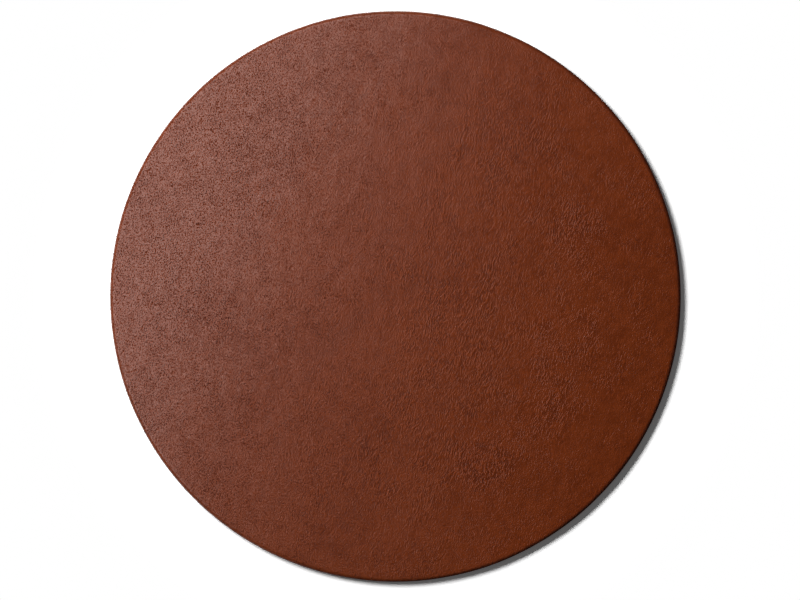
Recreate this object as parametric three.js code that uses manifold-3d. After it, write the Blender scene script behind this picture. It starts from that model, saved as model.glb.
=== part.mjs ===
// A round desk mouse pad with a turned-edge leather cover, lying flat on its grip sheet.
// Millimetres, +Z up. The origin is the middle of the underside, on the desk.
//
// From the desk up: grip sheet, bond film, the cover's turned-in hem with a filler disc inside it,
// bond film, fibre board, bond film, foam, bond film, and the cover's face.
import * as THREE from "three";
import { mergeVertices } from "three/addons/utils/BufferGeometryUtils.js";
import Module from "manifold-3d";

// The pad
const padDiameter = 220;

// Leather cover: one round of leather, turned over the core's rim and in under it
const faceThickness = 0.8;
const rimThickness = 0.8;
const hemThickness = 0.6; // the turn-in is skived thinner than the face
const hemWidth = 10; // from the pad's outline in to the hem's free edge
const upperRimRadius = 1.4; // the round shoulder seen from above
const lowerRimRadius = 1.0;
const upperFoldRadius = 0.4; // inside of the fold, against the foam
const lowerFoldRadius = 0.2; // inside of the fold, under the board

// Notches cut in the hem so that it lies flat when a round edge is turned in
const notchCount = 60;
const notchRootInset = 4.2; // from the pad's outline to the notch's closed end
const notchRootWidth = 0.5;
const notchMouthWidth = 1.3;
const notchOverrun = 0.3; // how far each cutter runs past what it cuts

// Core
const foamThickness = 0.5;
const boardThickness = 0.5;
const foldClearance = 0.15; // the core's layers are cut this much smaller than the fold

// Filler that levels the underside inside the hem
const fillerClearance = 0.5;

// Bond films
const filmThickness = 0.1;
const faceFilmInset = 0.8; // from the foam's edge
const coreFilmInset = 0.5; // from the board's edge
const hemFilmInset = 0.3; // from the board's edge
const baseFilmInset = 0.4; // from the grip sheet's edge

// Grip sheet
const gripThickness = 0.6;
const gripInset = 2.5; // the leather shows outside it all round, seen from below
const gripEdgeRadius = 0.2;

// How finely round shapes are faceted
const roundSides = 120;
const rimSteps = 7;
const foldSteps = 3;
const gripEdgeSteps = 2;
const notchRootSteps = 4;

const leatherBrown = 0x6a3420;
const filmStraw = 0xd8cdb0;
const foamGrey = 0x3b3c3f;
const boardTan = 0x8d7557;
const fillerGrey = 0x6f6b66;
const rubberBlack = 0x1d1e20;

// Heights of the layers, from the desk up
const gripTop = gripThickness;
const hemBottom = gripTop + filmThickness;
const hemTop = hemBottom + hemThickness;
const boardBottom = hemTop + filmThickness;
const boardTop = boardBottom + boardThickness;
const foamBottom = boardTop + filmThickness;
const foamTop = foamBottom + foamThickness;
const faceBottom = foamTop + filmThickness;
const faceTop = faceBottom + faceThickness;

// Radii of the layers
const padRadius = padDiameter / 2;
const foldRadius = padRadius - rimThickness;
const coreRadius = foldRadius - foldClearance;
const hemInnerRadius = padRadius - hemWidth;
const fillerRadius = hemInnerRadius - fillerClearance;
const gripRadius = padRadius - gripInset;

const wasm = await Module();
wasm.setup();

const leather = new THREE.MeshStandardMaterial({ color: leatherBrown, roughness: 0.55, metalness: 0 });
const film = new THREE.MeshStandardMaterial({ color: filmStraw, roughness: 0.3, metalness: 0 });
const foam = new THREE.MeshStandardMaterial({ color: foamGrey, roughness: 0.95, metalness: 0 });
const board = new THREE.MeshStandardMaterial({ color: boardTan, roughness: 0.85, metalness: 0 });
const filler = new THREE.MeshStandardMaterial({ color: fillerGrey, roughness: 0.9, metalness: 0 });
const rubber = new THREE.MeshStandardMaterial({ color: rubberBlack, roughness: 0.8, metalness: 0 });

// Points of an arc in a profile, from one angle to another, in degrees.
function arc(centreX, centreY, radius, fromDegrees, toDegrees, steps) {
  return Array.from({ length: steps + 1 }, (_, i) => {
    const angle = THREE.MathUtils.degToRad(THREE.MathUtils.lerp(fromDegrees, toDegrees, i / steps));
    return new THREE.Vector2(centreX + radius * Math.cos(angle), centreY + radius * Math.sin(angle));
  });
}

// A profile of (radius, height) points, anticlockwise, turned about +Z.
function turned(profile) {
  return new THREE.LatheGeometry(profile, roundSides).rotateX(Math.PI / 2);
}

// A flat disc, its upper and lower edges rounded where a radius is given.
function disc(radius, bottom, top, lowerRadius = 0, upperRadius = 0, steps = foldSteps) {
  const lower = lowerRadius
    ? arc(radius - lowerRadius, bottom + lowerRadius, lowerRadius, -90, 0, steps)
    : [new THREE.Vector2(radius, bottom)];
  const upper = upperRadius
    ? arc(radius - upperRadius, top - upperRadius, upperRadius, 0, 90, steps)
    : [new THREE.Vector2(radius, top)];
  return turned([new THREE.Vector2(0, bottom), ...lower, ...upper, new THREE.Vector2(0, top)]);
}

// A closed geometry as a solid that can be cut.
function solid(geometry) {
  const bare = geometry.clone().deleteAttribute("normal").deleteAttribute("uv");
  const merged = mergeVertices(bare);
  return new wasm.Manifold(
    new wasm.Mesh({
      numProp: 3,
      vertProperties: new Float32Array(merged.attributes.position.array),
      triVerts: new Uint32Array(merged.index.array),
    }),
  );
}

// A cut solid's vertices and triangles as a geometry again.
function geometryOf(cut) {
  const mesh = cut.getMesh();
  const geometry = new THREE.BufferGeometry();
  geometry.setAttribute("position", new THREE.BufferAttribute(mesh.vertProperties, 3));
  geometry.setIndex(new THREE.BufferAttribute(mesh.triVerts, 1));
  geometry.computeVertexNormals();
  return geometry;
}

// The leather before its hem is notched: face, rolled rim and turn-in as one skin of even thickness.
function coverSkin() {
  const face = [new THREE.Vector2(0, faceBottom)];
  const upperFold = arc(
    foldRadius - upperFoldRadius, faceBottom - upperFoldRadius, upperFoldRadius, 90, 0, foldSteps);
  const lowerFold = arc(
    foldRadius - lowerFoldRadius, hemTop + lowerFoldRadius, lowerFoldRadius, 0, -90, foldSteps);
  const hemEdge = [
    new THREE.Vector2(hemInnerRadius, hemTop),
    new THREE.Vector2(hemInnerRadius, hemBottom),
  ];
  const lowerRim = arc(
    padRadius - lowerRimRadius, hemBottom + lowerRimRadius, lowerRimRadius, -90, 0, rimSteps);
  const upperRim = arc(
    padRadius - upperRimRadius, faceTop - upperRimRadius, upperRimRadius, 0, 90, rimSteps);
  const top = [new THREE.Vector2(0, faceTop)];
  return turned([...face, ...upperFold, ...lowerFold, ...hemEdge, ...lowerRim, ...upperRim, ...top]);
}

// One notch's cutter, pointing along +X: round at its closed end and widening towards the hem's edge.
function notchCutter() {
  const rootRadius = padRadius - notchRootInset;
  const rootHalf = notchRootWidth / 2;
  const mouthHalf = notchMouthWidth / 2;
  const rootCentre = rootRadius - rootHalf;
  const outline = new THREE.Shape([
    new THREE.Vector2(hemInnerRadius - notchOverrun, mouthHalf),
    new THREE.Vector2(hemInnerRadius - notchOverrun, -mouthHalf),
    ...arc(rootCentre, 0, rootHalf, -90, 90, notchRootSteps),
  ]);
  const cutter = new THREE.ExtrudeGeometry(outline, {
    depth: hemThickness + 2 * notchOverrun,
    bevelEnabled: false,
  });
  return cutter.translate(0, 0, hemBottom - notchOverrun);
}

// The cover with its notched hem.
function topCover() {
  let skin = solid(coverSkin());
  const cutter = notchCutter();
  for (let i = 0; i < notchCount; i += 1) {
    const angle = ((i + 1 / 2) * 2 * Math.PI) / notchCount;
    skin = skin.subtract(solid(cutter.clone().rotateZ(angle)));
  }
  return geometryOf(skin);
}

const pad = new THREE.Group();

function place(name, geometry, material) {
  const mesh = new THREE.Mesh(geometry, material);
  mesh.name = name;
  pad.add(mesh);
}

place("grip_sheet", disc(gripRadius, 0, gripTop, gripEdgeRadius, 0, gripEdgeSteps), rubber);
place("base_bond_film", disc(gripRadius - baseFilmInset, gripTop, hemBottom), film);
place("filler_disc", disc(fillerRadius, hemBottom, hemTop), filler);
place("hem_bond_film", disc(coreRadius - hemFilmInset, hemTop, boardBottom), film);
place("stiffener_board", disc(coreRadius, boardBottom, boardTop), board);
place("core_bond_film", disc(coreRadius - coreFilmInset, boardTop, foamBottom), film);
place("cushion_foam", disc(coreRadius, foamBottom, foamTop, 0, upperFoldRadius), foam);
place("face_bond_film", disc(coreRadius - faceFilmInset, foamTop, faceBottom), film);
place("top_cover", topCover(), leather);

export default pad;
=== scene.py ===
"""A round leather mouse pad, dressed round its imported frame: leather cover, grip sheet, core and stage.

Lengths are metres and +Z is up. The origin is the middle of the underside, on the desk.
"""

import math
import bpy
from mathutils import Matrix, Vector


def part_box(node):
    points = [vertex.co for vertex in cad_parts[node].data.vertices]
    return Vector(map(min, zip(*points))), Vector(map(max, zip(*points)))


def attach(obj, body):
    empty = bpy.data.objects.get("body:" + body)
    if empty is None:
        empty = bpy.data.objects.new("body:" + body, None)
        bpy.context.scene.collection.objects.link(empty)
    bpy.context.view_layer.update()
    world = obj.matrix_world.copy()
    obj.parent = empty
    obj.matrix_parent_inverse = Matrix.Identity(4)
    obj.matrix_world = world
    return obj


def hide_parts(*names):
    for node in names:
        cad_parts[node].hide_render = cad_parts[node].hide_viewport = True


bl_info = {
    "name": "Round mouse pad",
    "version": (1, 0, 0),
    "blender": (4, 5, 0),
    "location": "3D View > Sidebar > Mouse pad",
    "description": "Dresses a round leather mouse pad round its packed frame",
    "category": "Object",
}

import bpy
from bpy.props import FloatProperty, FloatVectorProperty, IntProperty, PointerProperty
from bpy.types import Operator, Panel, PropertyGroup

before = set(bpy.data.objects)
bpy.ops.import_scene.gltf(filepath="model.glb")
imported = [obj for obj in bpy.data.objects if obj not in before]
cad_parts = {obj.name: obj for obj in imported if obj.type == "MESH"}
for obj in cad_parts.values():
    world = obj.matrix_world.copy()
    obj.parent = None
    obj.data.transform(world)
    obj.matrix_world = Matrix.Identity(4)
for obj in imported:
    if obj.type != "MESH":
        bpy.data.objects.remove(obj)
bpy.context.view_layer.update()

MM = 0.001

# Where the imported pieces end
COVER_LOW, COVER_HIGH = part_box("top_cover")
GRIP_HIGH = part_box("grip_sheet")[1]

# The photograph: its size, and the pad's outline in it, in pixels
PHOTO_WIDTH = 800
PHOTO_HEIGHT = 600
PAD_CENTRE_X = 395.4
PAD_CENTRE_Y = 296.4
PAD_RADIUS = 285.4

BODY = "root"
WHITE = (1.0, 1.0, 1.0, 1.0)
NOISE_MIDDLE = (0.5, 0.5, 0.5)
SHARP_ANGLE = math.radians(25)

# How finely the cover is made: sectors and rings in its face, and steps round its rim
SECTORS = 6
FACE_RINGS = 120
UPPER_STEPS = 8
WALL_STEPS = 1
LOWER_STEPS = 7
HEM_STEPS = 8

# The hide's short waves: their bearing, how many times as long as wide they are, and how they bend
RIPPLE_BEARING = math.radians(72)
RIPPLE_STRETCH = 2.2
RIPPLE_BEND = 2 * MM
RIPPLE_BEND_SPAN = 15 * MM

# A gather at the rim is deepest where its noise is under the first share, and gone over the second
GATHER_SHARES = (0.35, 0.62)

# The leather's grain, in pebble widths: its tops, creases and dents, its folds, and how it bends
TOP_SHARE = 0.42
CREASE_SHARE = 1.1
DENT_SHARE = 1.6
FOLD_SHARE = 0.52
GRAIN_BEND_SHARE = 0.4
GRAIN_BEND_SPAN_SHARE = 3

# The bearings of its pebbles and its wrinkles, and how many times as long as wide they are
PEBBLE_BEARING = math.radians(82)
PEBBLE_STRETCH = 1.4
WRINKLE_BEARING = math.radians(74)
WRINKLE_STRETCH = 3.2
WRINKLE_BEND = 2.5 * MM
WRINKLE_BEND_SPAN = 15 * MM

# How large its patches are: of coarse grain, of wrinkles, and of lighter and darker dye
COARSE_SPAN = 7 * MM
WRINKLED_SPAN = 11 * MM
CLOUD_SPAN = 42 * MM
BLOTCH_SPAN = 4.5 * MM
BLOTCH_BEND = 2 * MM
BLOTCH_BEND_SPAN = 9 * MM

# The direction away from the lamps: there the wax is thin, and the painted light and shade on the
# wrinkles is strongest
SIDE_AWAY_FROM_LAMPS = (0.94, -0.34, 0)

# Where its finish changes, in pad radii from the middle. Along X the grain gets firm and flatter, with
# less painted shade in its creases, and painted shade darkens the rim; away from the lamps the wax gets
# thin, the wrinkles' painted light and shade gets stronger and the rim dull, and outwards the wrinkles
# fade
FIRM_SHARES = (-0.85, 0.80)
RIM_SHADE_SHARES = (0.0, 0.8)
AWAY_SHARES = (-0.3, 0.3)
DULL_RIM_SHARES = (-0.6, 0.5)
FADED_SHARES = (0.62, 0.88)

# Where the rim's dull finish and its painted shade start and are full, in from the pad's outline, in
# upper rim radii
RIM_START_SHARE = 1.2
RIM_FULL_SHARE = 0.4

# The studs: their tip in widths of the foot, how far apart their staggered rows are in pitches, and
# how many more rows and columns their grid has than fit across the sheet
STUD_SIDES = 8
STUD_TIP_SHARE = 0.72
STUD_ROW_SHARE = math.sqrt(3 / 4)
SPARE_STUDS = 2

# How finely the grip sheet's rounded edge is made, and the outlines of the sheet and the floor
EDGE_STEPS = 5
ROUND_SIDES = 360

# The floor is shadowed out to here, and is a plain backdrop from there on, in pad radii
SHADOW_END_SHARE = 1.10
BACKDROP_START_SHARE = 1.28

# The floor's size, its colour as it is seen and as light bounces off it, and how much of the
# backdrop shows in the deepest shadow
FLOOR_RADIUS = 6.0
FLOOR_SHOWN = (1.5, 1.5, 1.5, 1.0)
FLOOR_BOUNCE = (0.25, 0.25, 0.25, 1.0)
FLOOR_GLOW_SHARE = 0.055

# In reflections the sky goes from the white backdrop to dark between these shares of the way up
BACKDROP_TOP_SHARES = (0.02, 0.15)


def length(name, description, default):
    """A setting in metres."""
    return FloatProperty(name=name, description=description, default=default, min=0, unit="LENGTH")


def share(name, description, default):
    """A setting from nothing to all."""
    return FloatProperty(
        name=name, description=description, default=default, min=0, max=1, subtype="FACTOR"
    )


def paint(name, description, default):
    """A linear colour."""
    return FloatVectorProperty(
        name=name, description=description, default=default, size=4, min=0, max=1, subtype="COLOR"
    )


def angle(name, description, degrees):
    """A setting in radians, given in degrees."""
    return FloatProperty(
        name=name, description=description, default=math.radians(degrees), unit="ROTATION"
    )


class CoverSettings(PropertyGroup):
    """The leather cover: one round of hide, turned over the core's rim and in under it"""

    radius: length("Radius", "Outside radius of the covered pad", COVER_HIGH.x)
    top: length("Top", "Height of the leather face over the desk", COVER_HIGH.z)
    bottom: length("Bottom", "Height of the hem's outside over the desk", COVER_LOW.z)
    face_thickness: length("Face thickness", "Hide on the face and round the rim", 0.8 * MM)
    hem_thickness: length("Hem thickness", "Skived hide where it is turned in", 0.6 * MM)
    hem_width: length("Hem width", "From the pad's outline in to the hem's free edge", 10 * MM)
    upper_rim: length("Upper rim radius", "Roundness of the shoulder seen from above", 1.6 * MM)
    lower_rim: length("Lower rim radius", "Roundness of the edge at the desk", 1.0 * MM)
    notches: IntProperty(name="Notches", description="Cuts that let the hem lie flat", default=60, min=3)
    notch_inset: length("Notch inset", "From the pad's outline to a notch's closed end", 4.2 * MM)
    notch_root: length("Notch root", "Width of a notch at its closed end", 0.5 * MM)
    notch_mouth: length("Notch mouth", "Width of a notch at the hem's free edge", 1.3 * MM)
    seed: IntProperty(name="Seed", description="Another hide for each number", default=7)
    swell: length("Swell", "Height of the slow waves in the hide", 0.12 * MM)
    swell_span: length("Swell span", "Length of the slow waves", 30 * MM)
    ripple: length("Ripple", "Height of the short waves in the hide", 0.04 * MM)
    ripple_span: length("Ripple span", "Length of the short waves", 3.5 * MM)
    pucker: length("Pucker", "Depth of the gathers where the hide turns under", 0.12 * MM)
    pucker_span: length("Pucker span", "Distance between the gathers", 2.6 * MM)
    # Umber is also the colour that the painted shade in the creases and on the rim's far side darkens
    # towards
    umber: paint("Umber", "Creases and the darker patches", (0.075, 0.0110, 0.0018, 1.0))
    tan: paint("Tan", "Tops of the grain and the lighter patches", (0.172, 0.0300, 0.0052, 1.0))
    flesh: paint("Flesh side", "Undyed hide inside and at the cut edge", (0.330, 0.190, 0.100, 1.0))
    grain: length("Grain", "Width of one pebble of the grain", 1.0 * MM)
    grain_depth: length("Grain depth", "Height of the grain over its creases", 0.19 * MM)


class GripSettings(PropertyGroup):
    """The rubber sheet under the pad"""

    radius: length("Radius", "Radius of the sheet", GRIP_HIGH.x)
    top: length("Top", "Height of the sheet's upper face", GRIP_HIGH.z)
    edge: length("Edge radius", "Roundness of the lower edge", 0.2 * MM)
    stud_height: length("Stud height", "How far the studs stand out of the sheet", 0.14 * MM)
    stud_pitch: length("Stud pitch", "Distance between neighbouring studs", 3.2 * MM)
    stud_width: length("Stud width", "Width of a stud at its foot", 2.2 * MM)
    stud_margin: length("Stud margin", "Plain rubber from the outermost studs to the edge", 1.0 * MM)
    stud_root: length("Stud root", "How far a stud reaches into the sheet", 0.05 * MM)
    black: paint("Black", "Rubber", (0.020, 0.020, 0.022, 1.0))


class CoreSettings(PropertyGroup):
    """The hidden layers"""

    film: paint("Film", "Bond films", (0.55, 0.48, 0.36, 1.0))
    foam: paint("Foam", "Cushion foam", (0.045, 0.046, 0.050, 1.0))
    board: paint("Board", "Stiffener board", (0.27, 0.18, 0.095, 1.0))
    felt: paint("Felt", "Filler disc", (0.16, 0.145, 0.13, 1.0))


class StageSettings(PropertyGroup):
    """Floor, light and camera"""

    camera_height: length("Camera height", "From the rim's widest line up to the camera", 1.0)
    key_height: length("Key height", "Height of the lamp over the desk", 0.66)
    key_reach: length("Key reach", "From the pad's middle to the point under the lamp", 0.71)
    key_bearing: angle("Key bearing", "Direction of the lamp from the pad, from +X towards +Y", 142)
    key_width: length("Key width", "Width of the oval lamp, level with the desk", 0.66)
    key_rise: length("Key rise", "Size of the oval lamp across its width", 0.27)
    key_level: share("Key level", "The lamp's light, where 1 shows a colour as written", 0.93)
    panel_height: length("Panel height", "Height of the panel over the desk", 0.54)
    panel_reach: length("Panel reach", "From the pad's middle to the point under the panel", 0.26)
    panel_bearing: angle("Panel bearing", "Direction of the panel from the pad, from +X towards +Y", 154)
    panel_width: length("Panel width", "Width of the panel, level with the desk", 0.78)
    panel_rise: length("Panel rise", "Size of the panel across its width", 0.36)
    panel_level: share("Panel level", "The panel's light, which shows in the gloss alone", 0.78)
    sky_level: share("Sky level", "Light from all round, on the same scale", 0.036)


class MousePadSettings(PropertyGroup):
    """All that a user may change"""

    cover: PointerProperty(type=CoverSettings)
    grip: PointerProperty(type=GripSettings)
    core: PointerProperty(type=CoreSettings)
    stage: PointerProperty(type=StageSettings)


# Node trees written as Python


def live(sockets, name):
    """The socket of that name that the node uses, or its first one."""
    return next((s for s in sockets if s.enabled and name in (None, s.name)), None)


class Wire:
    """A node's output. Python's operators on it add the Math nodes that work out the value."""

    def __init__(self, graph, socket):
        self.graph = graph
        self.socket = socket

    def out(self, name):
        """Another output of the same node."""
        return Wire(self.graph, live(self.socket.node.outputs, name))

    def math(self, operation, *values):
        """One Math node on the values."""
        return self.graph.add("ShaderNodeMath", dict(enumerate(values)), operation=operation)

    def __add__(self, other):
        return self.math("ADD", self, other)

    __radd__ = __add__

    def __sub__(self, other):
        return self.math("SUBTRACT", self, other)

    def __rsub__(self, other):
        return self.math("SUBTRACT", other, self)

    def __mul__(self, other):
        return self.math("MULTIPLY", self, other)

    __rmul__ = __mul__

    def __truediv__(self, other):
        return self.math("DIVIDE", self, other)

    def __rtruediv__(self, other):
        return self.math("DIVIDE", other, self)

    def __mod__(self, other):
        return self.math("FLOORED_MODULO", self, other)

    def __gt__(self, other):
        return self.math("GREATER_THAN", self, other)

    def sin(self):
        return self.math("SINE", self)

    def cos(self):
        return self.math("COSINE", self)

    def least(self, other):
        """The smaller of the two."""
        return self.math("MINIMUM", self, other)

    def most(self, other):
        """The larger of the two."""
        return self.math("MAXIMUM", self, other)

    def within(self, low, high):
        """The value, held between low and high."""
        return self.most(low).least(high)

    def ease(self, low, high):
        """0 below low, 1 above high, and a smooth step between them."""
        values = {"Value": self, "From Min": low, "From Max": high}
        return self.graph.add("ShaderNodeMapRange", values, interpolation_type="SMOOTHSTEP")


class Graph:
    """A node tree that is being built."""

    def __init__(self, tree):
        self.tree = tree

    def add(self, kind, values=None, output=None, **settings):
        """Adds a node: its settings, then the values or Wires of its sockets, by name or number."""
        node = self.tree.nodes.new(kind)
        for name, setting in settings.items():
            setattr(node, name, setting)
        for key, value in (values or {}).items():
            socket = node.inputs[key] if isinstance(key, int) else live(node.inputs, key)
            if isinstance(value, Wire):
                self.tree.links.new(value.socket, socket)
            else:
                socket.default_value = value
        return Wire(self, live(node.outputs, output))

    def blend(self, factor, one, other):
        """A colour between one, where factor is 0, and other, where it is 1."""
        values = {"Factor": factor, "A": one, "B": other}
        return self.add("ShaderNodeMix", values, data_type="RGBA")

    def vector(self, operation, *values, output=None):
        """One Vector Math node on the values."""
        return self.add("ShaderNodeVectorMath", dict(enumerate(values)), output, operation=operation)

    def scaled(self, vector, factor):
        """The vector, factor times as long."""
        return self.add("ShaderNodeVectorMath", {"Vector": vector, "Scale": factor}, operation="SCALE")

    def distance(self, vector):
        """How long the vector is."""
        return self.vector("LENGTH", vector, output="Value")

    def level(self, vector):
        """The vector without its height."""
        return self.vector("MULTIPLY", vector, (1, 1, 0))

    def point(self, x=0, y=0, z=0):
        """The vector of these coordinates."""
        return self.add("ShaderNodeCombineXYZ", {"X": x, "Y": y, "Z": z})

    def part(self, vector, axis):
        """One coordinate of the vector. The others are outputs of the same node."""
        return self.add("ShaderNodeSeparateXYZ", {0: vector}, axis)

    def noise(self, place, size, detail=2.0, output="Fac"):
        """Smooth noise about a half, with features about size across."""
        values = {"Vector": place, "Scale": 1 / size, "Detail": detail}
        return self.add("ShaderNodeTexNoise", values, output)

    def seeded(self, place, size, seed):
        """As noise(), with another pattern for each seed."""
        values = {"Vector": place, "Scale": 1 / size, "Detail": 1.0, "W": seed}
        return self.add("ShaderNodeTexNoise", values, "Fac", noise_dimensions="4D")

    def cells(self, place, size, feature="F1"):
        """Distance to the middle of a cell, or to what feature says, in cells about size across."""
        values = {"Vector": place, "Scale": 1 / size}
        return self.add("ShaderNodeTexVoronoi", values, "Distance", feature=feature)

    def shifted(self, place, amount, size):
        """The place, pushed about by up to amount, so that a pattern on it bends."""
        push = self.vector("SUBTRACT", self.noise(place, size, output="Color"), NOISE_MIDDLE)
        return self.vector("ADD", place, self.scaled(push, 2 * amount))

    def combed(self, place, bearing, stretch):
        """The place, turned and squeezed so that a pattern on it runs along the bearing."""
        values = {"Vector": place, "Angle": -bearing}
        turned = self.add("ShaderNodeVectorRotate", values, rotation_type="Z_AXIS")
        return self.vector("MULTIPLY", turned, (1 / stretch, 1, 1))

    def bump(self, height, depth):
        """A normal from a height of 0 to 1 that stands for the depth."""
        return self.add("ShaderNodeBump", {"Height": height, "Distance": depth, "Strength": 1.0})


def emptied(data):
    """The graph of a material or a world, with no nodes in it yet."""
    data.use_nodes = True
    data.node_tree.nodes.clear()
    return Graph(data.node_tree)


def finish(name, look):
    """A material of one Principled shader, whose sockets look() gives for a place on the piece."""
    material = bpy.data.materials.new(name)
    graph = emptied(material)
    place = graph.add("ShaderNodeTexCoord", output="Object")
    shader = graph.add("ShaderNodeBsdfPrincipled", look(graph, place))
    graph.add("ShaderNodeOutputMaterial", {"Surface": shader})
    return material


def toned(colour, factor):
    """The colour, factor times as bright."""
    return [min(1, factor * channel) for channel in colour[:3]] + [1.0]


# Finishes


def pebbled_grain(graph, place, pebble):
    """The grain's tops and the creases between them, from 0 to 1, and the shallow dents below."""
    bent = graph.shifted(place, GRAIN_BEND_SHARE * pebble, GRAIN_BEND_SPAN_SHARE * pebble)
    upright = graph.combed(bent, PEBBLE_BEARING, PEBBLE_STRETCH)
    tops = graph.noise(upright, TOP_SHARE * pebble, 0.0)
    lines = 1 - graph.cells(upright, CREASE_SHARE * pebble, "DISTANCE_TO_EDGE").ease(0.0, 0.16)
    creases = (1 - tops.ease(0.30, 0.56)).most(0.5 * lines)
    dents = graph.noise(bent, DENT_SHARE * pebble, 1.0)
    return tops, creases, dents


def fine_wrinkles(graph, place, reach, pebble):
    """Fine folds, from 0 to 1, and how wrinkled the hide is: in patches, and less near the rim."""
    along = graph.shifted(place, WRINKLE_BEND, WRINKLE_BEND_SPAN)
    along = graph.combed(along, WRINKLE_BEARING, WRINKLE_STRETCH)
    folds = graph.noise(along, FOLD_SHARE * pebble, 0.0).ease(0.38, 0.80)
    wrinkled = 0.30 + 0.70 * graph.noise(place, WRINKLED_SPAN).ease(0.40, 0.70)
    return folds, wrinkled * (1 - 0.6 * reach.ease(*FADED_SHARES))


def grain_side(cover):
    """Waxed dyed leather, with pebbled grain, fine wrinkles, patches of dye and a dull rim. Painted shade
    darkens its creases and the rim's far side from the lamps, and painted light and shade mark the
    wrinkles.
    """
    rim_start = 1 - RIM_START_SHARE * cover.upper_rim / cover.radius
    rim_full = 1 - RIM_FULL_SHARE * cover.upper_rim / cover.radius

    def look(graph, place):
        spot = graph.scaled(place, 1 / cover.radius)
        reach = graph.distance(graph.level(spot))
        across = graph.part(spot, "X")
        firm = across.ease(*FIRM_SHARES)
        slant = graph.vector("DOT_PRODUCT", spot, SIDE_AWAY_FROM_LAMPS, output="Value")
        away_from_lamps = slant.ease(*AWAY_SHARES)
        rim = reach.ease(rim_start, rim_full) * slant.ease(*DULL_RIM_SHARES)
        # Painted shade on the rim's far side from the lamps, where the rim turns away from the light
        painted_rim_shade = 0.6 * rim * across.ease(*RIM_SHADE_SHARES)

        tops, creases, dents = pebbled_grain(graph, place, cover.grain)
        coarse = graph.noise(place, COARSE_SPAN).ease(0.36, 0.64)
        raised = (1.2 + 0.7 * coarse) * (1 - 0.72 * firm)
        folds, wrinkled = fine_wrinkles(graph, place, reach, cover.grain)
        height = 0.9 * tops * raised + 0.5 * dents + (0.44 + 0.30 * away_from_lamps) * folds * wrinkled

        cloud = graph.noise(place, CLOUD_SPAN, 3.0).ease(0.30, 0.70)
        spread = graph.shifted(place, BLOTCH_BEND, BLOTCH_BEND_SPAN)
        blotch = graph.noise(spread, BLOTCH_SPAN, 3.0).ease(0.30, 0.70)
        tone = 0.48 + 0.20 * cloud + 0.30 * blotch
        # Painted light and shade on the wrinkles: lighter on the folds, darker between them, strongest
        # away from the lamps
        painted_wrinkle_shading = (0.34 + 1.2 * away_from_lamps) * wrinkled * (folds - 0.24)
        # Tops lighter and creases darker in the dye; the creases' darkness is partly dye and partly
        # painted shade, stronger where the grain stands higher. The rim's painted shade is subtracted
        # here too
        shade = tone + painted_wrinkle_shading + raised * (0.46 * tops - 0.50 * creases) - painted_rim_shade
        wax = (0.74 + 0.38 * blotch + 0.10 * cloud) * (0.5 + tops) * (1 - creases * raised.least(1))
        return {
            "Base Color": graph.blend(shade.within(0, 1), cover.umber, cover.tan),
            "Roughness": (0.22 + 0.28 * creases * raised + 0.7 * rim).least(1),
            "Specular IOR Level": 0.15,
            "Coat Weight": (wax * (1 - 0.5 * away_from_lamps) * (1 - rim)).least(1),
            "Coat Roughness": 0.25,
            "Normal": graph.bump(height, cover.grain_depth),
        }

    return finish("dyed_leather_grain", look)


def flesh_side(cover):
    """Undyed leather: short matted fibres."""
    fibre_width = 0.5 * MM
    fibre_height = 0.15 * MM
    bend = 1 * MM
    bend_span = 2 * MM
    patch_span = 9 * MM

    def look(graph, place):
        fibres = graph.noise(graph.shifted(place, bend, bend_span), fibre_width, 4.0)
        patches = graph.noise(place, patch_span, 3.0)
        shade = (1.6 * fibres * patches).within(0, 1)
        return {
            "Base Color": graph.blend(shade, toned(cover.flesh, 0.6), cover.flesh),
            "Roughness": 0.85 + 0.1 * fibres,
            "Normal": graph.bump(fibres, fibre_height),
        }

    return finish("leather_flesh", look)


def grip_rubber(grip):
    """Matt natural rubber: a fine moulded tooth, and a little bloom in patches."""
    tooth_width = 0.28 * MM
    tooth_height = 0.03 * MM
    bloom_span = 14 * MM

    def look(graph, place):
        tooth = graph.cells(place, tooth_width)
        bloom = graph.noise(place, bloom_span, 4.0).ease(0.35, 0.75)
        return {
            "Base Color": graph.blend(0.35 * bloom + 0.25 * tooth, grip.black, toned(grip.black, 2.2)),
            "Roughness": 0.72 + 0.14 * bloom,
            "Normal": graph.bump(tooth, tooth_height),
        }

    return finish("grip_rubber", look)


def bond_film(core):
    """Set glue: a thin coat with brushed streaks and small bubbles."""
    streak_width = 1.2 * MM
    streak_stretch = 12
    streak_bearing = math.radians(20)
    bubble_spacing = 1.6 * MM
    relief = 0.02 * MM

    def look(graph, place):
        brushed = graph.combed(place, streak_bearing, streak_stretch)
        streaks = graph.noise(brushed, streak_width, 3.0)
        bubbles = graph.cells(place, bubble_spacing).ease(0.05, 0.22)
        shade = streaks * (0.6 + 0.4 * bubbles)
        return {
            "Base Color": graph.blend(shade, toned(core.film, 0.7), core.film),
            "Roughness": 0.30 + 0.25 * streaks,
            "Normal": graph.bump(streaks + 0.5 * bubbles, relief),
        }

    return finish("bond_film", look)


def cushion_foam(core):
    """Cut closed-cell foam: open cells at the surface, with painted shade in their hollows."""
    cell_width = 0.45 * MM
    cell_depth = 0.10 * MM
    patch_span = 12 * MM

    def look(graph, place):
        cell = graph.cells(place, cell_width, "DISTANCE_TO_EDGE").ease(0.0, 0.25)
        patches = graph.noise(place, patch_span, 3.0)
        # Darker inside the open cells: painted shade in their hollows
        shade = 0.7 * cell + 0.3 * patches
        return {
            "Base Color": graph.blend(shade, core.foam, toned(core.foam, 0.5)),
            "Roughness": 0.88 + 0.1 * patches,
            "Normal": graph.bump(1 - cell, cell_depth),
        }

    return finish("cushion_foam", look)


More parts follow.
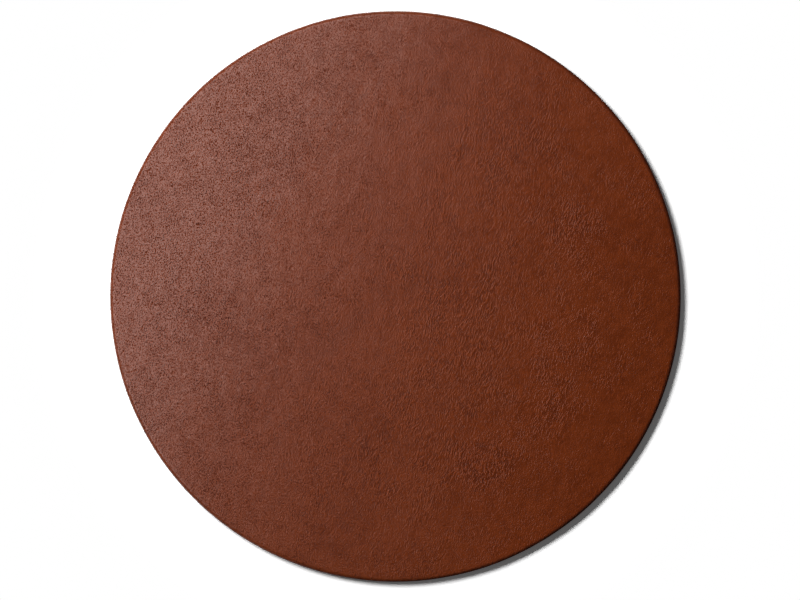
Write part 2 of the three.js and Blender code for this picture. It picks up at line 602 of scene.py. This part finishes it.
def fibre_board(core):
    """Pressed board: flat fibres in every direction, and darker specks."""
    fibre_width = 0.5 * MM
    fibre_height = 0.05 * MM
    fibre_stretch = 9
    bearings = [math.radians(degrees) for degrees in (15, 75, 140)]
    speck_spacing = 3.5 * MM

    def look(graph, place):
        layers = [graph.combed(place, bearing, fibre_stretch) for bearing in bearings]
        fibres = sum(graph.noise(layer, fibre_width) / len(layers) for layer in layers)
        specks = 1 - graph.cells(place, speck_spacing).ease(0.04, 0.10)
        shade = 0.25 + 0.6 * (1 - fibres.ease(0.4, 0.6)) + 0.6 * specks
        return {
            "Base Color": graph.blend(shade.within(0, 1), core.board, toned(core.board, 0.55)),
            "Roughness": 0.78 + 0.14 * fibres,
            "Normal": graph.bump(fibres, fibre_height),
        }

    return finish("fibre_board", look)


def filler_felt(core):
    """Needled felt: mixed light and dark fibres."""
    fibre_width = 0.6 * MM
    fibre_height = 0.20 * MM
    bend = 2 * MM
    bend_span = 3 * MM
    patch_span = 5 * MM

    def look(graph, place):
        tangle = graph.noise(graph.shifted(place, bend, bend_span), fibre_width, 5.0)
        patches = graph.noise(place, patch_span, 3.0)
        shade = tangle.ease(0.35, 0.65) * (0.5 + patches)
        return {
            "Base Color": graph.blend(shade, toned(core.felt, 0.45), toned(core.felt, 1.5)),
            "Roughness": 0.90,
            "Normal": graph.bump(tangle, fibre_height),
        }

    return finish("filler_felt", look)


# Geometry trees


def geometry_tree(name, sizes):
    """A geometry tree with a mesh and the named sizes as its inputs. Gives its graph and inputs."""
    tree = bpy.data.node_groups.new(name, "GeometryNodeTree")
    tree.interface.new_socket("Mesh", in_out="INPUT", socket_type="NodeSocketGeometry")
    for size, value in sizes.items():
        kind = "NodeSocketInt" if isinstance(value, int) else "NodeSocketFloat"
        tree.interface.new_socket(size, in_out="INPUT", socket_type=kind)
    tree.interface.new_socket("Mesh", in_out="OUTPUT", socket_type="NodeSocketGeometry")
    graph = Graph(tree)
    group = graph.add("NodeGroupInput").socket.node
    return graph, {socket.name: Wire(graph, socket) for socket in group.outputs if socket.name}


def grow(name, mesh, tree, sizes):
    """Runs the tree on the mesh with these sizes, and keeps the result as a plain piece of that name."""
    piece = bpy.data.objects.new(name, mesh)
    bpy.context.collection.objects.link(piece)
    modifier = piece.modifiers.new(tree.name, "NODES")
    modifier.node_group = tree
    for item in tree.interface.items_tree:
        if item.in_out == "INPUT" and item.name in sizes:
            modifier[item.identifier] = sizes[item.name]
    evaluated = piece.evaluated_get(bpy.context.evaluated_depsgraph_get())
    plain = bpy.data.meshes.new_from_object(evaluated)
    piece.modifiers.remove(modifier)
    piece.data = plain
    plain.name = name
    plain.shade_smooth()
    plain.set_sharp_from_angle(angle=SHARP_ANGLE)
    return piece


def punched_notches(graph, size):
    """The flat hide, less a ring of tapered notches cut in from its edge."""
    notch_length = size["Hem Width"] - size["Notch Inset"]
    root = size["Blank Radius"] - notch_length
    spread = size["Blank Radius"] / (size["Radius"] - size["Hem Width"])
    block = graph.point(2 * notch_length, 1, 4 * size["Face Thickness"])
    cutter = graph.add("GeometryNodeMeshCube", {"Size": block})
    corner = graph.part(graph.add("GeometryNodeInputPosition"), "X")
    along = corner / notch_length + 1
    width = spread * (size["Notch Root"] + along * (size["Notch Mouth"] - size["Notch Root"]))
    tapered = graph.point(root + notch_length * along, corner.out("Y") * width, corner.out("Z"))
    cutter = graph.add("GeometryNodeSetPosition", {"Geometry": cutter, "Position": tapered})
    turn = (graph.add("GeometryNodeInputIndex") + 0.5) * (2 * math.pi) / size["Notches"]
    values = {
        "Points": graph.add("GeometryNodePoints", {"Count": size["Notches"]}),
        "Instance": cutter,
        "Rotation": graph.add("FunctionNodeAxisAngleToRotation", {"Axis": (0, 0, 1), "Angle": turn}),
    }
    cutters = graph.add("GeometryNodeInstanceOnPoints", values)
    cutters = graph.add("GeometryNodeRealizeInstances", {"Geometry": cutters})
    values = {"Mesh 1": size["Mesh"], "Mesh 2": cutters}
    return graph.add("GeometryNodeMeshBoolean", values, operation="DIFFERENCE", solver="MANIFOLD")


def surface_waves(graph, size, flat, outwards, past_wall, lower_arc):
    """How far the grain side stands out of true: its waves, and gathers where it turns under."""
    seed = size["Seed"]
    swell = size["Swell"] * (2 * graph.seeded(flat, size["Swell Span"], seed) - 1)
    slanted = graph.shifted(flat, RIPPLE_BEND, RIPPLE_BEND_SPAN)
    slanted = graph.combed(slanted, RIPPLE_BEARING, RIPPLE_STRETCH)
    ripple = size["Ripple"] * (2 * graph.seeded(slanted, size["Ripple Span"], seed) - 1)
    round_the_rim = graph.scaled(outwards, size["Radius"])
    gathers = graph.seeded(round_the_rim, size["Pucker Span"], seed).ease(*GATHER_SHARES)
    under = past_wall.ease(0, lower_arc)
    return (swell + ripple) * (1 - under) - size["Pucker"] * (1 - gathers) * under


def turned_edge_tree(sizes, grain, flesh):
    """Notches a flat round of hide, ripples its grain side and turns its edge over the core."""
    graph, size = geometry_tree("turned_edge_cover", sizes)
    facing = graph.part(graph.add("GeometryNodeInputNormal"), "Z")
    values = {"Geometry": punched_notches(graph, size), "Name": "grain_side", "Value": facing > 0.5}
    hide = graph.add("GeometryNodeStoreNamedAttribute", values, data_type="BOOLEAN", domain="FACE")

    flat = graph.add("GeometryNodeInputPosition")
    level = graph.level(flat)
    reach = graph.distance(level)
    outwards = graph.vector("NORMALIZE", level)
    depth = 0 - graph.part(flat, "Z")

    upper_rim, lower_rim = size["Upper Rim"], size["Lower Rim"]
    face_end = size["Radius"] - upper_rim
    upper_arc = upper_rim * (math.pi / 2)
    lower_arc = lower_rim * (math.pi / 2)
    wall = size["Top"] - upper_rim - size["Bottom"] - lower_rim
    past_face = reach - face_end
    past_shoulder = past_face - upper_arc
    past_wall = past_shoulder - wall
    upper_turn = past_face.within(0, upper_arc) / upper_rim
    lower_turn = past_wall.within(0, lower_arc) / lower_rim
    hem = (past_wall - lower_arc).most(0)

    skived = 1 - past_wall.ease(0, lower_arc) * (1 - size["Hem Thickness"] / size["Face Thickness"])
    waves = surface_waves(graph, size, flat, outwards, past_wall, lower_arc)
    sunk = depth * skived - waves * (1 - depth / size["Face Thickness"])

    turn = upper_turn + lower_turn
    radius = reach.least(face_end) + upper_rim * upper_turn.sin() - lower_rim * (1 - lower_turn.cos())
    radius = radius - hem - sunk * turn.sin()
    height = size["Top"] - upper_rim * (1 - upper_turn.cos()) - past_shoulder.within(0, wall)
    height = height - lower_rim * lower_turn.sin() - sunk * turn.cos()
    spoke = graph.scaled(outwards, radius)
    place = graph.vector("ADD", spoke, graph.point(z=height))
    turned = graph.add("GeometryNodeSetPosition", {"Geometry": hide, "Position": place})

    cover = graph.add("GeometryNodeRealizeInstances", {"Geometry": turned})
    cover = graph.add("GeometryNodeSetMaterial", {"Geometry": cover, "Material": flesh})
    outside = graph.add(
        "GeometryNodeInputNamedAttribute", {"Name": "grain_side"}, "Attribute", data_type="BOOLEAN"
    )
    values = {"Geometry": cover, "Selection": outside, "Material": grain}
    graph.add("NodeGroupOutput", {"Mesh": graph.add("GeometryNodeSetMaterial", values)})
    return graph.tree


def studded_tree(sizes, rubber):
    """Covers the underside of a plain sheet with studs, in staggered rows, moulded in one with it."""
    graph, size = geometry_tree("studded_grip_sheet", sizes)
    pitch = size["Stud Pitch"]
    row_pitch = pitch * STUD_ROW_SHARE
    width = 2 * size["Radius"]
    columns = graph.add("FunctionNodeFloatToInt", {0: width / pitch + SPARE_STUDS})
    rows = graph.add("FunctionNodeFloatToInt", {0: width / row_pitch + SPARE_STUDS})
    values = {
        "Size X": (columns - 1) * pitch,
        "Size Y": (rows - 1) * row_pitch,
        "Vertices X": columns,
        "Vertices Y": rows,
    }
    grid = graph.add("GeometryNodeMeshGrid", values)
    row = graph.add("GeometryNodeInputIndex") % rows
    half_step = graph.point(pitch * ((row % 2) - 0.5) / 2)
    spots = graph.add("GeometryNodeSetPosition", {"Geometry": grid, "Offset": half_step})
    distance = graph.distance(graph.add("GeometryNodeInputPosition"))
    foot = size["Stud Width"] / 2
    edge = size["Radius"] - size["Stud Margin"] - foot
    values = {
        "Vertices": STUD_SIDES,
        "Radius Top": foot,
        "Radius Bottom": foot * STUD_TIP_SHARE,
        "Depth": size["Stud Height"] + size["Stud Root"],
    }
    stud = graph.add("GeometryNodeMeshCone", values)
    values = {"Points": spots, "Selection": edge > distance, "Instance": stud}
    studs = graph.add("GeometryNodeInstanceOnPoints", values)
    studs = graph.add("GeometryNodeRealizeInstances", {"Geometry": studs})
    sheet = graph.add("GeometryNodeMeshBoolean", {"Mesh": studs}, operation="UNION", solver="MANIFOLD")
    graph.tree.links.new(size["Mesh"].socket, live(sheet.socket.node.inputs, "Mesh"))
    sheet = graph.add("GeometryNodeRealizeInstances", {"Geometry": sheet})
    sheet = graph.add("GeometryNodeSetMaterial", {"Geometry": sheet, "Material": rubber})
    graph.add("NodeGroupOutput", {"Mesh": sheet})
    return graph.tree


# Plain meshes


def ring_steps(start, stop, count):
    """count even steps from start to stop, without start."""
    return [start + (stop - start) * (i + 1) / count for i in range(count)]


def mesh_of(name, points, faces):
    """A mesh of that name."""
    mesh = bpy.data.meshes.new(name)
    mesh.from_pydata(points, [], faces)
    mesh.update()
    return mesh


def ring(radius, height, count):
    """count points round +Z."""
    turns = [2 * math.pi * i / count for i in range(count)]
    return [(radius * math.cos(a), radius * math.sin(a), height) for a in turns]


def flat_hide(reaches, face_rings, thickness):
    """A flat round of hide, grain side up at height 0. Its face is rings of evenly sized triangles."""
    points = [(0, 0, 0)]
    faces = []
    starts = [0]
    face_end = reaches[0]
    for k in range(1, face_rings + 1):
        starts.append(len(points))
        points += ring(face_end * k / face_rings, 0, SECTORS * k)
    for k in range(1, face_rings + 1):
        inner, outer = starts[k - 1], starts[k]
        inner_count, outer_count = max(SECTORS * (k - 1), 1), SECTORS * k
        for sector in range(SECTORS):
            a = [outer + (sector * k + i) % outer_count for i in range(k + 1)]
            b = [inner + (sector * (k - 1) + i) % inner_count for i in range(k)]
            faces += [(a[i], a[i + 1], b[i]) for i in range(k)]
            faces += [(b[i], a[i + 1], b[i + 1]) for i in range(k - 1)]
    sides = SECTORS * face_rings
    rows = [starts[-1]]
    for reach in reaches[1:]:
        rows.append(len(points))
        points += ring(reach, 0, sides)
    for reach in reversed(reaches):
        rows.append(len(points))
        points += ring(reach, -thickness, sides)
    steps = [(i, (i + 1) % sides) for i in range(sides)]
    for one, other in zip(rows, rows[1:]):
        faces += [(one + i, other + i, other + j, one + j) for i, j in steps]
    points.append((0, 0, -thickness))
    faces += [(rows[-1] + i, len(points) - 1, rows[-1] + j) for i, j in steps]
    return mesh_of("flat_hide", points, faces)


def turned_mesh(name, profile, sides):
    """A profile of (radius, height) points, from the axis below to the axis above, turned round +Z."""
    points = [(0, 0, profile[0][1]), (0, 0, profile[-1][1])]
    rows = []
    for radius, height in profile[1:-1]:
        rows.append(len(points))
        points += ring(radius, height, sides)
    steps = [(i, (i + 1) % sides) for i in range(sides)]
    faces = [(0, rows[0] + j, rows[0] + i) for i, j in steps]
    for one, other in zip(rows, rows[1:]):
        faces += [(one + i, one + j, other + j, other + i) for i, j in steps]
    faces += [(1, rows[-1] + i, rows[-1] + j) for i, j in steps]
    return mesh_of(name, points, faces)


def set_on_frame(piece, node):
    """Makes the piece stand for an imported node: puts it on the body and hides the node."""
    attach(piece, BODY)
    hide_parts(node)


# Operators


class MOUSEPAD_OT_leather_cover(Operator):
    """Turns a notched round of hide over the core: face, rolled rim and hem"""

    bl_idname = "mouse_pad.leather_cover"
    bl_label = "Leather cover"

    def execute(self, context):
        cover = context.scene.mouse_pad.cover
        reach = cover.radius - cover.upper_rim
        reaches = [reach]
        for step_length, count in (
            (cover.upper_rim * math.pi / 2, UPPER_STEPS),
            (cover.top - cover.upper_rim - cover.bottom - cover.lower_rim, WALL_STEPS),
            (cover.lower_rim * math.pi / 2, LOWER_STEPS),
            (cover.hem_width - cover.lower_rim, HEM_STEPS),
        ):
            reaches += ring_steps(reach, reach + step_length, count)
            reach = reaches[-1]
        hide = flat_hide(reaches, FACE_RINGS, cover.face_thickness)
        sizes = {
            "Blank Radius": reach,
            "Radius": cover.radius,
            "Top": cover.top,
            "Bottom": cover.bottom,
            "Face Thickness": cover.face_thickness,
            "Hem Thickness": cover.hem_thickness,
            "Hem Width": cover.hem_width,
            "Upper Rim": cover.upper_rim,
            "Lower Rim": cover.lower_rim,
            "Notches": cover.notches,
            "Notch Inset": cover.notch_inset,
            "Notch Root": cover.notch_root,
            "Notch Mouth": cover.notch_mouth,
            "Swell": cover.swell,
            "Swell Span": cover.swell_span,
            "Ripple": cover.ripple,
            "Ripple Span": cover.ripple_span,
            "Pucker": cover.pucker,
            "Pucker Span": cover.pucker_span,
            "Seed": cover.seed,
        }
        tree = turned_edge_tree(sizes, grain_side(cover), flesh_side(cover))
        piece = grow("leather_cover", hide, tree, sizes)
        set_on_frame(piece, "top_cover")
        blank = 2 * reach
        math.pi * reach**2
        return {"FINISHED"}


class MOUSEPAD_OT_grip_sheet(Operator):
    """Makes the rubber sheet under the pad, with its studs"""

    bl_idname = "mouse_pad.grip_sheet"
    bl_label = "Grip sheet"

    def execute(self, context):
        grip = context.scene.mouse_pad.grip
        underside = grip.stud_height
        turns = [math.pi / 2 * i / EDGE_STEPS for i in range(EDGE_STEPS + 1)]
        edge = [
            (grip.radius - grip.edge * (1 - math.sin(a)), underside + grip.edge * (1 - math.cos(a)))
            for a in turns
        ]
        profile = [(0, underside), *edge, (grip.radius, grip.top), (0, grip.top)]
        sheet = turned_mesh("plain_grip_sheet", profile, ROUND_SIDES)
        sizes = {
            "Radius": grip.radius,
            "Stud Height": grip.stud_height,
            "Stud Pitch": grip.stud_pitch,
            "Stud Width": grip.stud_width,
            "Stud Margin": grip.stud_margin,
            "Stud Root": grip.stud_root,
        }
        piece = grow("grip_sheet_rubber", sheet, studded_tree(sizes, grip_rubber(grip)), sizes)
        set_on_frame(piece, "grip_sheet")
        return {"FINISHED"}


class MOUSEPAD_OT_core_layers(Operator):
    """Finishes the layers inside the cover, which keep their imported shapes"""

    bl_idname = "mouse_pad.core_layers"
    bl_label = "Core layers"

    def execute(self, context):
        core = context.scene.mouse_pad.core
        film = bond_film(core)
        finishes = {
            "face_bond_film": film,
            "cushion_foam": cushion_foam(core),
            "core_bond_film": film,
            "stiffener_board": fibre_board(core),
            "hem_bond_film": film,
            "filler_disc": filler_felt(core),
            "base_bond_film": film,
        }
        for node, material in finishes.items():
            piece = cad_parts[node]
            piece.data.materials.clear()
            piece.data.materials.append(material)
        return {"FINISHED"}


class MOUSEPAD_OT_stage(Operator):
    """Sets up the white floor, the sky, the two lamps and the camera straight above"""

    bl_idname = "mouse_pad.stage"
    bl_label = "Stage"

    def execute(self, context):
        settings = context.scene.mouse_pad
        stage = settings.stage
        add_floor(settings.cover.radius)
        add_sky(context.scene, stage)
        key = add_lamp("key_lamp", stage.key_height, stage.key_reach, stage.key_bearing, stage.key_level)
        key.data.shape = "ELLIPSE"
        key.data.size = stage.key_rise
        key.data.size_y = stage.key_width
        key.visible_glossy = False
        panel = add_lamp(
            "soft_panel", stage.panel_height, stage.panel_reach, stage.panel_bearing, stage.panel_level
        )
        panel.data.shape = "RECTANGLE"
        panel.data.size = stage.panel_rise
        panel.data.size_y = stage.panel_width
        panel.visible_diffuse = False
        add_camera(context.scene, settings)
        context.scene.view_settings.view_transform = "Standard"
        return {"FINISHED"}


def kinds_of_ray(graph):
    """Two values that are 1 on rays from the camera, and on rays in mirrors or through clear things."""
    ray = graph.add("ShaderNodeLightPath", output="Is Camera Ray")
    return ray, ray.out("Is Glossy Ray").most(ray.out("Is Transmission Ray"))


def add_floor(pad_radius):
    """A white floor that takes the pad's shadow, and is a plain white backdrop further out."""
    material = bpy.data.materials.new("white_floor")
    graph = emptied(material)
    distance = graph.distance(graph.add("ShaderNodeTexCoord", output="Object"))
    far = distance.ease(SHADOW_END_SHARE * pad_radius, BACKDROP_START_SHARE * pad_radius)
    far = far.most(FLOOR_GLOW_SHARE)
    lit = graph.add("ShaderNodeBsdfDiffuse", {"Color": FLOOR_SHOWN})
    plain = graph.add("ShaderNodeEmission", {"Color": WHITE, "Strength": 1.0})
    shown = graph.add("ShaderNodeMixShader", {0: far, 1: lit, 2: plain})
    bounce = graph.add("ShaderNodeBsdfDiffuse", {"Color": FLOOR_BOUNCE})
    seen, reflected = kinds_of_ray(graph)
    surface = graph.add("ShaderNodeMixShader", {0: seen.most(reflected), 1: bounce, 2: shown})
    graph.add("ShaderNodeOutputMaterial", {"Surface": surface})
    corners = ring(FLOOR_RADIUS, 0, ROUND_SIDES)
    mesh = mesh_of("floor", corners, [tuple(range(ROUND_SIDES))])
    mesh.materials.append(material)
    floor = bpy.data.objects.new("floor", mesh)
    bpy.context.collection.objects.link(floor)


def add_sky(scene, stage):
    """Dim light from all round. The camera sees white there, and reflections a white backdrop."""
    world = bpy.data.worlds.new("white_surround")
    graph = emptied(world)
    height = graph.part(graph.add("ShaderNodeTexCoord", output="Generated"), "Z")
    seen, reflected = kinds_of_ray(graph)
    backdrop = seen.most(reflected * (1 - height.ease(*BACKDROP_TOP_SHARES)))
    strength = backdrop + stage.sky_level * (1 - seen.most(reflected))
    background = graph.add("ShaderNodeBackground", {"Color": WHITE, "Strength": strength})
    graph.add("ShaderNodeOutputWorld", {"Surface": background})
    scene.world = world


def add_lamp(name, height, reach, bearing, level):
    """A lamp up and to one side, aimed at the pad, that lights its middle to the level."""
    distance = math.hypot(reach, height)
    slant = height / distance
    data = bpy.data.lights.new(name, "AREA")
    data.energy = level * (math.pi * distance) ** 2 / slant
    lamp = bpy.data.objects.new(name, data)
    lamp.location = (reach * math.cos(bearing), reach * math.sin(bearing), height)
    lamp.rotation_euler = (0, math.acos(slant), bearing)
    bpy.context.collection.objects.link(lamp)
    return lamp


def add_camera(scene, settings):
    """Looks straight down, so that the pad's outline falls where it does in the photograph."""
    cover = settings.cover
    per_pixel = cover.radius / PAD_RADIUS
    widest = cover.top - cover.upper_rim
    data = bpy.data.cameras.new("camera")
    data.lens = data.sensor_width * settings.stage.camera_height / (PHOTO_WIDTH * per_pixel)
    camera = bpy.data.objects.new("camera", data)
    camera.location = (
        (PHOTO_WIDTH / 2 - PAD_CENTRE_X) * per_pixel,
        (PAD_CENTRE_Y - PHOTO_HEIGHT / 2) * per_pixel,
        widest + settings.stage.camera_height,
    )
    bpy.context.collection.objects.link(camera)
    scene.camera = camera


class VIEW3D_PT_mouse_pad(Panel):
    """Lists the mouse pad's pieces and their settings"""

    bl_label = "Mouse pad"
    bl_space_type = "VIEW_3D"
    bl_region_type = "UI"
    bl_category = "Mouse pad"

    def draw(self, context):
        settings = context.scene.mouse_pad
        for operator, name in zip(OPERATORS, ("cover", "grip", "core", "stage")):
            box = self.layout.box()
            box.operator(operator.bl_idname)
            group = getattr(settings, name)
            for setting in group.__annotations__:
                box.prop(group, setting)


OPERATORS = (
    MOUSEPAD_OT_leather_cover,
    MOUSEPAD_OT_grip_sheet,
    MOUSEPAD_OT_core_layers,
    MOUSEPAD_OT_stage,
)
CLASSES = (
    CoverSettings,
    GripSettings,
    CoreSettings,
    StageSettings,
    MousePadSettings,
    *OPERATORS,
    VIEW3D_PT_mouse_pad,
)


def register():
    """Adds the classes, and the settings to the scene."""
    for cls in CLASSES:
        bpy.utils.register_class(cls)
    bpy.types.Scene.mouse_pad = PointerProperty(type=MousePadSettings)


def unregister():
    """Takes them off again."""
    del bpy.types.Scene.mouse_pad
    for cls in reversed(CLASSES):
        bpy.utils.unregister_class(cls)


def main():
    """Makes every piece and the stage."""
    register()
    bpy.ops.mouse_pad.leather_cover()
    bpy.ops.mouse_pad.grip_sheet()
    bpy.ops.mouse_pad.core_layers()
    bpy.ops.mouse_pad.stage()


if __name__ == "__main__":
    main()
